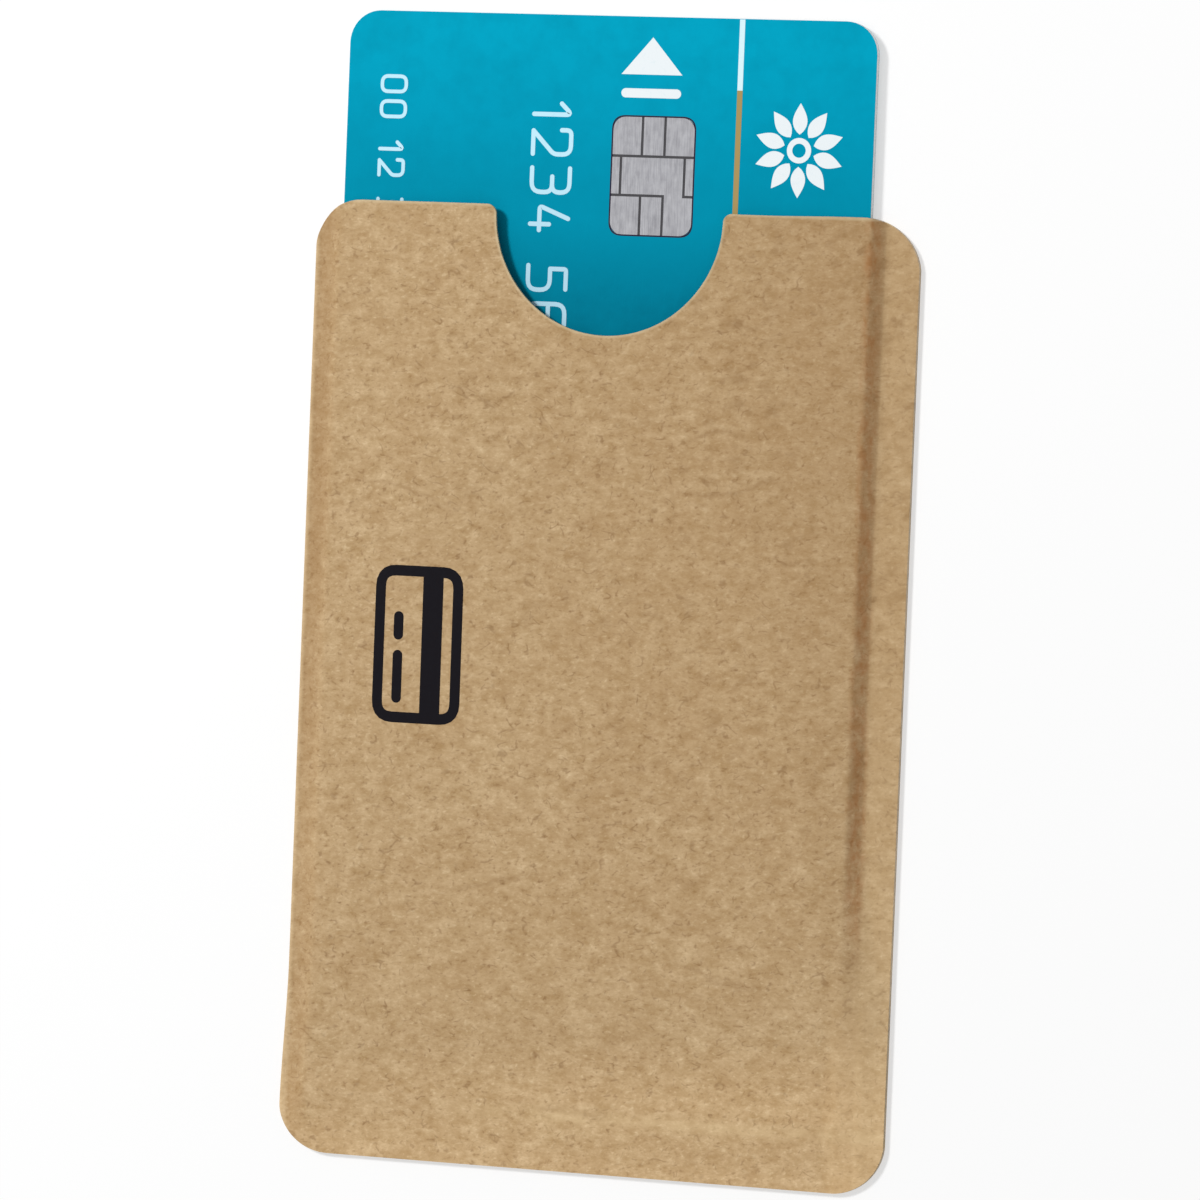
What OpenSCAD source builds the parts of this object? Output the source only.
// Shielded paper sleeve for one payment card, with the card standing out of its mouth.
// The sleeve is one sheet of kraft board lined with foil, folded along its left side
// and sealed along its right side and its bottom. A thumb notch is cut in the front.
// Millimetres. Z is up out of the front panel, Y points out of the mouth, and the origin
// is the centre of the sleeve's back face.

/* [Sheet] */
// Thickness of the kraft board
board = 0.25; // [0.15:0.05:0.35]
// Thickness of the foil lining with its sealing film
foil = 0.05; // [0.03:0.01:0.08]
// Thickness of the adhesive in the sealed margins
glue = 0.05; // [0.03:0.01:0.1]
// Distance of the adhesive from the crease beside it
glue_inset = 0.2; // [0:0.05:1]

/* [Sleeve] */
// Width of the sealed margin along the right side
side_seam = 3.95; // [2.5:0.05:8]
// Width of the sealed margin along the bottom
bottom_seam = 5.8; // [3:0.1:12]
// Width of the pressed rim along the fold, outside the pocket
fold_rim = 0.35; // [0.25:0.05:1]
// Run of the slope between a flat margin and the raised panel
slope_run = 0.8; // [0.7:0.05:2]
// Radius of the rounded corners of the sleeve
corner_r = 5.2; // [1:0.1:8]
// Rise of the front panel's crown at the mouth
crown = 1; // [0.2:0.1:3]
// Radius of the creases at the foot of the slopes
valley_r = 0.45; // [0.4:0.05:0.6]
// Radius of the creases at the top of the slopes
shoulder_r = 0.5; // [0.2:0.05:0.8]

/* [Thumb notch] */
// Radius of the notch
notch_r = 11.6; // [6:0.1:15]
// Distance of the notch's centre below the mouth
notch_centre = 0.8; // [0:0.1:0.9]
// Radius of the notch's lips at the mouth
notch_lip_r = 1; // [1:0.1:5]
// Distance of the notch to the right of the centre line
notch_shift = 0; // [-6:0.1:6]

/* [Card in the sleeve] */
// Side play of the card in the pocket
card_play = 1.82; // [0.6:0.01:4]
// Gap between the card and the slope on the sealed side
card_gap = 0.21; // [0.15:0.01:0.5]
// Gap between the pushed-in card and the slope at the bottom
end_gap = 0.3; // [0.2:0.1:4]
// Depth of the pushed-in card below the mouth
mouth_depth = 1.5; // [0.5:0.1:6]
// Clearance between the card's face and the lining, on each side
face_gap = 0.1; // [0.08:0.01:0.3]
// How far the card stands out of the mouth
card_out = 18.6; // [2:0.1:60]

/* [Card] */
// Length of the card
card_l = 85.6; // [60:0.1:100]
// Width of the card
card_w = 53.98; // [45:0.01:70]
// Radius of the card's corners
card_r = 3.18; // [1:0.01:5]
// Thickness of each clear or printed outer film
overlay = 0.06; // [0.05:0.01:0.1]
// Thickness of each plastic core sheet
core = 0.26; // [0.2:0.01:0.3]
// Thickness of the inlay that holds the antenna
inlay = 0.12; // [0.11:0.01:0.16]
// Distance of the stripe from the card's long edge
stripe_inset = 4; // [3:0.1:8]
// Width of the magnetic stripe
stripe_w = 12.7; // [8:0.1:16]
// Distance of the signature panel from the magnetic stripe
panel_gap = 4; // [2:0.1:8]
// Width of the signature panel
panel_w = 10; // [5:0.1:14]
// Length of the signature panel
panel_l = 58; // [20:1:68]
// Thickness of the stripe and of the signature panel
tape = 0.03; // [0.02:0.01:0.04]

/* [Chip] */
// Length of the contact plate, along the card
chip_l = 11.4; // [10:0.1:14]
// Width of the contact plate, across the card
chip_w = 8.3; // [8:0.1:12]
// Radius of the plate's corners
chip_r = 1.25; // [0.4:0.05:2]
// Distance of the plate's centre from the card's end
chip_from_end = 15.4; // [12:0.1:30]
// Distance of the plate's centre from the card's long edge
chip_from_side = 22.2; // [12:0.1:32]
// Width of the insulating grooves between the contacts
groove = 0.25; // [0.15:0.01:0.4]
// Length of the contacts in the two end rows
end_row = 3.8; // [3:0.05:4.5]
// Width of the narrow contacts at the plate's sides
side_contact = 0.9; // [0.5:0.1:1.8]
// Width of the contacts in the middle of the end rows
mid_contact = 2.3; // [1.6:0.1:3.5]
// Thickness of the metal contacts
contact = 0.04; // [0.03:0.01:0.05]
// Thickness of the glass tape that carries the contacts
carrier = 0.12; // [0.08:0.01:0.15]
// Thickness of the adhesive that holds the tape in the card
bond = 0.04; // [0.02:0.01:0.05]
// Width of the ledge that the tape is bonded to
ledge = 1.1; // [0.8:0.05:1.8]
// Depth of the resin that covers the chip
resin = 0.36; // [0.26:0.01:0.38]
// Radius of the resin's corners
resin_r = 0.6; // [0.2:0.1:1.2]
// Side length of the silicon chip
die = 3; // [1.5:0.1:4]
// Thickness of the silicon chip
die_t = 0.15; // [0.1:0.01:0.18]
// Clearance around the plate and the resin in the card
chip_gap = 0.05; // [0.03:0.01:0.1]

/* [Antenna] */
// Number of turns
turns = 4; // [2:1:6]
// Width of the wire
wire = 0.12; // [0.1:0.01:0.2]
// Thickness of the wire
wire_t = 0.05; // [0.03:0.01:0.05]
// Distance between turns
pitch = 0.6; // [0.4:0.05:1]
// Distance of the outer turn from the card's edge
antenna_inset = 3; // [2:0.1:5]
// Distance of the antenna's two ends from the chip's centre line
lead_gap = 2; // [1:0.1:3]

/* [Hidden] */
// Length past the sheet's edges of the shapes that are cut to its outline
over = 2;
// Facets of the true circles
fine = 96;
// Steps of a bend, of the fold and of the crown
bend_steps = 4;
fold_steps = 8;
crown_steps = 16;

// Levels of the sheet and the pocket, from the back face up
z_back_foil = board;
z_pocket = z_back_foil + foil;
z_seam = z_pocket + glue;
z_card = z_pocket + face_gap;
card_t = 2 * overlay + 2 * core + inlay;
z_field = z_card + card_t + face_gap;
sheet = board + foil;

// Pocket and sleeve across: fold, rim, slope, pocket, slope, seam
fold_r = sheet + glue / 2;
pocket_w = card_w + card_play;
sleeve_w = sheet + fold_rim + slope_run + pocket_w + slope_run + side_seam;
x_edge = sleeve_w / 2;
x_fold = -x_edge + sheet;
x_left_valley = x_fold + fold_rim;
x_left = x_left_valley + slope_run;
x_right = x_left + pocket_w;
x_right_valley = x_right + slope_run;

// Pocket and sleeve along: seam, slope, pocket, mouth
sleeve_l = bottom_seam + slope_run + end_gap + card_l + mouth_depth;
y_mouth = sleeve_l / 2;
y_bottom = -y_mouth;
y_valley = y_bottom + bottom_seam;
y_pocket = y_valley + slope_run;

// Place of the card: its centre line and its lower end
card_x = x_right - card_gap - card_w / 2;
card_y = y_mouth + card_out - card_l;

// Levels in the card, from its back up
z_core = overlay;
z_inlay = z_core + core;
z_front_core = z_inlay + inlay;
z_front = z_front_core + core;

// Place of the chip in the card, and its levels from the card's back up
chip_x = card_w / 2 - chip_from_side;
chip_y = card_l - chip_from_end;
z_contact = card_t - contact;
z_carrier = z_contact - carrier;
z_ledge = z_carrier - bond;
z_resin = z_carrier - resin;
z_die = z_carrier - die_t;
resin_w = chip_w - 2 * ledge;
resin_l = chip_l - 2 * ledge;

// Height of the contact plate's middle row
mid_row = chip_l - 2 * end_row;

// Level of the antenna's turns, and the place of its two ends under the plate's ledge
z_turns = z_front_core - wire_t;
lead_y = chip_y + chip_l / 2 - ledge / 2;

kraft_colour = [0.74, 0.62, 0.46];
foil_colour = [0.8, 0.81, 0.82];
glue_colour = [0.9, 0.88, 0.8];
card_colour = [0, 0.61, 0.75];
core_colour = [0.93, 0.94, 0.94];
inlay_colour = [0.86, 0.88, 0.86];
copper_colour = [0.72, 0.43, 0.25];
contact_colour = [0.7, 0.7, 0.71];
tape_colour = [0.12, 0.1, 0.1];
resin_colour = [0.08, 0.08, 0.09];

// Direction of a vector
function unit(v) = v / norm(v);

// Normal on the left of the way from a to b
function left_of(a, b) = let (u = unit(b - a)) [-u[1], u[0]];

// The path moved d to its left, with mitred corners, so that a sheet keeps its thickness
function beside(path, d) = [
    for (i = [0 : len(path) - 1])
        let (
            before = max(i - 1, 0),
            after = min(i + 1, len(path) - 1),
            n_in = left_of(path[before], path[before + 1]),
            n_out = left_of(path[after - 1], path[after]),
            middle = unit(n_in + n_out)
        )
        path[i] + middle * d / (middle * n_out)
];

// Points of a bend of radius r at corner p, on the way from a to b
function bend(a, p, b, r) =
    let (
        u = unit(a - p),
        v = unit(b - p),
        half = acos(u * v) / 2,
        centre = p + unit(u + v) * r / sin(half),
        start = p + u * r / tan(half) - centre,
        end = p + v * r / tan(half) - centre,
        from = atan2(start[1], start[0]),
        to = atan2(end[1], end[0]),
        sweep = (to - from + 540) % 360 - 180
    )
    [for (i = [0 : bend_steps]) let (t = from + sweep * i / bend_steps) centre + r * [cos(t), sin(t)]];

// Half turn of the sheet around the gap that the adhesive leaves in the fold
function fold_turn() = [
    for (i = [0 : fold_steps])
        let (t = 270 - 180 * i / fold_steps)
        [x_fold + glue / 2 * (1 + cos(t)), z_pocket + glue / 2 * (1 + sin(t))]
];

// Shallow crown of the front panel between its two shoulders
function crown_points() = [
    for (i = [1 : crown_steps - 1])
        let (t = 2 * i / crown_steps - 1)
        [(x_left + x_right) / 2 + t * pocket_w / 2, z_field + crown * (1 - t * t)]
];

// Inner face of the sheet across the sleeve: back, fold, slope, crown, slope, seam
function across() =
    let (
        crest = crown_points(),
        rim = [x_fold + glue / 2, z_seam],
        left_foot = [x_left_valley, z_seam],
        left_top = [x_left, z_field],
        right_top = [x_right, z_field],
        right_foot = [x_right_valley, z_seam],
        far = [x_edge + over, z_seam]
    )
    concat(
        [[x_edge + over, z_pocket]],
        fold_turn(),
        bend(rim, left_foot, left_top, valley_r),
        bend(left_foot, left_top, crest[0], shoulder_r),
        crest,
        bend(crest[len(crest) - 1], right_top, right_foot, shoulder_r),
        bend(right_top, right_foot, far, valley_r),
        [far]
    );

// Inner face of the front along the sleeve: seam, slope, and a rise to the mouth.
// It closes below the back face, which the section across cuts.
function along() =
    let (
        near = [y_bottom - over, z_seam],
        foot = [y_valley, z_seam],
        top = [y_pocket, z_field],
        mouth = [y_mouth + over, z_field + crown]
    )
    concat(
        [[y_mouth + over, -over], [y_bottom - over, -over], near],
        bend(near, foot, top, valley_r),
        bend(foot, top, mouth, shoulder_r),
        [mouth]
    );

// Everything within d of the sheet's inner face, on the pocket's side of it
module within(d) {
    intersection() {
        translate([0, y_mouth + over, 0]) rotate([90, 0, 0])
            linear_extrude(sleeve_l + 2 * over) polygon(beside(across(), d));
        translate([-x_edge - over, 0, 0]) rotate([90, 0, 90])
            linear_extrude(sleeve_w + 2 * over) polygon(beside(along(), d));
    }
}

// Rectangle with round corners, centred
module round_rect(w, l, r) {
    square([w - 2 * r, l], center = true);
    square([w, l - 2 * r], center = true);
    for (x = [-1, 1], y = [-1, 1])
        translate([x * (w / 2 - r), y * (l / 2 - r)]) circle(r, $fn = fine);
}

// Die-cut outline of the closed sleeve
module outline() {
    round_rect(sleeve_w, sleeve_l, corner_r);
}

// Thumb notch, with round lips that run from its round end into the mouth
module notch() {
    lip_x = sqrt(pow(notch_r + notch_lip_r, 2) - pow(notch_lip_r - notch_centre, 2));
    translate([notch_shift, y_mouth]) {
        translate([0, -notch_centre]) circle(notch_r, $fn = fine);
        difference() {
            polygon([
                [-lip_x, over], [-lip_x, -notch_lip_r], [0, -notch_centre],
                [lip_x, -notch_lip_r], [lip_x, over]
            ]);
            for (x = [-lip_x, lip_x])
                translate([x, -notch_lip_r]) circle(notch_lip_r, $fn = fine);
        }
    }
}

// One layer of the folded sheet, between two distances from its inner face
module layer(inner, outer) {
    intersection() {
        translate([0, 0, -over]) linear_extrude(2 * over + z_field + crown + sheet) outline();
        difference() {
            within(outer);
            within(inner);
        }
    }
}

// Part of a layer that lies in the front panel: right of the fold, above the adhesive's middle
module front_part(inner, outer) {
    difference() {
        intersection() {
            layer(inner, outer);
            translate([-x_edge + fold_r, y_bottom - over, z_pocket + glue / 2])
                cube([sleeve_w + over, sleeve_l + 2 * over, z_field + crown + over]);
        }
        translate([0, 0, -over]) linear_extrude(2 * over + z_field + crown + sheet) notch();
    }
}

// Part of a layer that lies in the fold
module fold_part(inner, outer) {
    intersection() {
        layer(inner, outer);
        translate([-x_edge - over, y_bottom - over, -over])
            cube([over + fold_r, sleeve_l + 2 * over, z_field + crown + 2 * over]);
    }
}

// Flat layer of the back panel, from level z up
module back_part(z, thickness) {
    translate([0, 0, z]) linear_extrude(thickness) intersection() {
        outline();
        translate([-x_edge + fold_r, y_bottom - over]) square([sleeve_w + over, sleeve_l + 2 * over]);
    }
}

module kraft_front_panel() {
    color(kraft_colour) front_part(foil, sheet);
}

module kraft_fold() {
    color(kraft_colour) fold_part(foil, sheet);
}

module kraft_back_panel() {
    color(kraft_colour) back_part(0, board);
}

module foil_front_liner() {
    color(foil_colour) front_part(0, foil);
}

module foil_fold() {
    color(foil_colour) fold_part(0, foil);
}

module foil_back_liner() {
    color(foil_colour) back_part(z_back_foil, foil);
}

// Sealing strip along the right side, from the bottom strip to the mouth
module side_seam_adhesive() {
    color(glue_colour) translate([0, 0, z_pocket]) linear_extrude(glue) intersection() {
        outline();
        translate([x_right_valley + glue_inset, y_valley - glue_inset])
            square([side_seam + over, sleeve_l + over]);
    }
}

// Sealing strip along the bottom, from the fold to the right edge
module bottom_seam_adhesive() {
    color(glue_colour) translate([0, 0, z_pocket]) linear_extrude(glue) intersection() {
        outline();
        translate([-x_edge + fold_r, y_bottom - over])
            square([sleeve_w + over, bottom_seam - glue_inset + over]);
    }
}

// The card's own frame: its centre line, its lower end and its back face
module in_card() {
    translate([card_x, card_y, z_card]) children();
}

// Sheet of the card's outline, from level z up
module card_sheet(z, thickness) {
    translate([0, card_l / 2, z]) linear_extrude(thickness) round_rect(card_w, card_l, card_r);
}

// Block of a rounded outline under the contact plate's centre, from level z up
module at_chip(z, height, w, l, r) {
    translate([chip_x, chip_y, z]) linear_extrude(height) round_rect(w, l, r);
}

// Stepped pocket that is milled for the chip module
module chip_pocket() {
    at_chip(z_ledge, card_t, chip_w + 2 * chip_gap, chip_l + 2 * chip_gap, chip_r + chip_gap);
    at_chip(
        z_resin - chip_gap, card_t,
        resin_w + 2 * chip_gap, resin_l + 2 * chip_gap, resin_r + chip_gap
    );
}

module card_front_overlay() {
    color(card_colour) in_card() difference() {
        card_sheet(z_front, overlay);
        chip_pocket();
    }
}

module card_front_core() {
    color(core_colour) in_card() difference() {
        card_sheet(z_front_core, core);
        chip_pocket();
        coil_solid();
        bridge_solid();
    }
}

module card_antenna_inlay() {
    color(inlay_colour) in_card() difference() {
        card_sheet(z_inlay, inlay);
        chip_pocket();
        coil_solid();
        bridge_solid();
    }
}

module card_back_core() {
    color(core_colour) in_card() difference() {
        card_sheet(z_core, core);
        chip_pocket();
    }
}

module card_back_overlay() {
    color(card_colour) in_card() difference() {
        card_sheet(0, overlay);
        stripe_solid();
        panel_solid();
    }
}

// Distance of turn k from the card's edges
function turn_inset(k) = antenna_inset + pitch * k;

// Path of the antenna, from its outer end clockwise inwards, and then down to the chip
function coil_path() = concat(
    [[chip_x + lead_gap, card_l - turn_inset(0)]],
    [
        for (k = [0 : turns - 1], corner = [
            [card_w / 2 - turn_inset(k), card_l - turn_inset(k)],
            [card_w / 2 - turn_inset(k), turn_inset(k)],
            [turn_inset(k) - card_w / 2, turn_inset(k)],
            [turn_inset(k) - card_w / 2, card_l - turn_inset(k + 1)]
        ]) corner
    ],
    [[chip_x - lead_gap, card_l - turn_inset(turns)], [chip_x - lead_gap, lead_y]]
);

// Post at one end of a lead, square to the card, between two levels
module post(x, y, from, to) {
    translate([x - wire / 2, y - wire / 2, from]) cube([wire, wire, to - from]);
}

module coil_solid() {
    path = coil_path();
    inner = beside(path, -wire / 2);
    turned = [for (i = [len(inner) - 1 : -1 : 0]) inner[i]];
    translate([0, 0, z_turns]) linear_extrude(wire_t) polygon(concat(beside(path, wire / 2), turned));
    post(chip_x - lead_gap, lead_y, z_turns, z_ledge);
}

// Strip under the turns that brings the outer end of the coil in to the chip
module bridge_solid() {
    translate([chip_x + lead_gap - wire / 2, lead_y - wire / 2, z_inlay])
        cube([wire, card_l - turn_inset(0) - lead_y + wire, wire_t]);
    post(chip_x + lead_gap, card_l - turn_inset(0), z_inlay, z_turns);
    post(chip_x + lead_gap, lead_y, z_inlay, z_ledge);
}

module antenna_coil() {
    color(copper_colour) in_card() coil_solid();
}

module antenna_bridge() {
    color(copper_colour) in_card() bridge_solid();
}

// Magnetic stripe, let into the back film along the edge on the right
module stripe_solid() {
    translate([card_w / 2 - stripe_inset - stripe_w, 0, 0]) cube([stripe_w, card_l, tape]);
}

module magnetic_stripe() {
    color(tape_colour) in_card() stripe_solid();
}

// Signature panel, let into the back film beside the stripe
module panel_solid() {
    translate([card_w / 2 - stripe_inset - stripe_w - panel_gap - panel_w, (card_l - panel_l) / 2, 0])
        cube([panel_w, panel_l, tape]);
}

module signature_panel() {
    color(core_colour) in_card() panel_solid();
}

// Straight groove between two contacts, along one axis
module cut(a, b) {
    translate([min(a[0], b[0]) - groove / 2, min(a[1], b[1]) - groove / 2])
        square([abs(b[0] - a[0]) + groove, abs(b[1] - a[1]) + groove]);
}

// Grooves of the contact plate: three rows, with the middle joined to one corner as earth
module grooves() {
    mid = mid_contact / 2;
    side = chip_w / 2 - side_contact;
    row = mid_row / 2;
    cut([-chip_w, row], [chip_w, row]);
    cut([-chip_w, -row], [mid, -row]);
    cut([side, -row], [chip_w, -row]);
    for (x = [-mid, mid]) {
        cut([x, row], [x, chip_l]);
        cut([x, -row], [x, -chip_l]);
    }
    for (x = [-side, side]) cut([x, -row], [x, row]);
}

module chip_contacts() {
    color(contact_colour) in_card() translate([chip_x, chip_y, z_contact]) linear_extrude(contact)
        difference() {
            round_rect(chip_w, chip_l, chip_r);
            grooves();
        }
}

module chip_carrier_tape() {
    color(tape_colour) in_card() at_chip(z_carrier, carrier, chip_w, chip_l, chip_r);
}

// Adhesive ring on the ledge, around the resin
module chip_bond_ring() {
    color(glue_colour) in_card() difference() {
        at_chip(z_ledge, bond, chip_w, chip_l, chip_r);
        at_chip(
            z_ledge - bond, 3 * bond,
            resin_w + 2 * chip_gap, resin_l + 2 * chip_gap, resin_r + chip_gap
        );
    }
}

module die_solid() {
    translate([chip_x - die / 2, chip_y - die / 2, z_die]) cube([die, die, die_t]);
}

// Resin drop on the back of the tape, moulded over the chip
module chip_resin() {
    color(resin_colour) in_card() difference() {
        at_chip(z_resin, resin, resin_w, resin_l, resin_r);
        die_solid();
    }
}

module chip_die() {
    color(inlay_colour) in_card() die_solid();
}

kraft_front_panel();
kraft_fold();
kraft_back_panel();
foil_front_liner();
foil_fold();
foil_back_liner();
side_seam_adhesive();
bottom_seam_adhesive();
card_front_overlay();
card_front_core();
card_antenna_inlay();
card_back_core();
card_back_overlay();
antenna_coil();
antenna_bridge();
magnetic_stripe();
signature_panel();
chip_contacts();
chip_carrier_tape();
chip_bond_ring();
chip_resin();
chip_die();
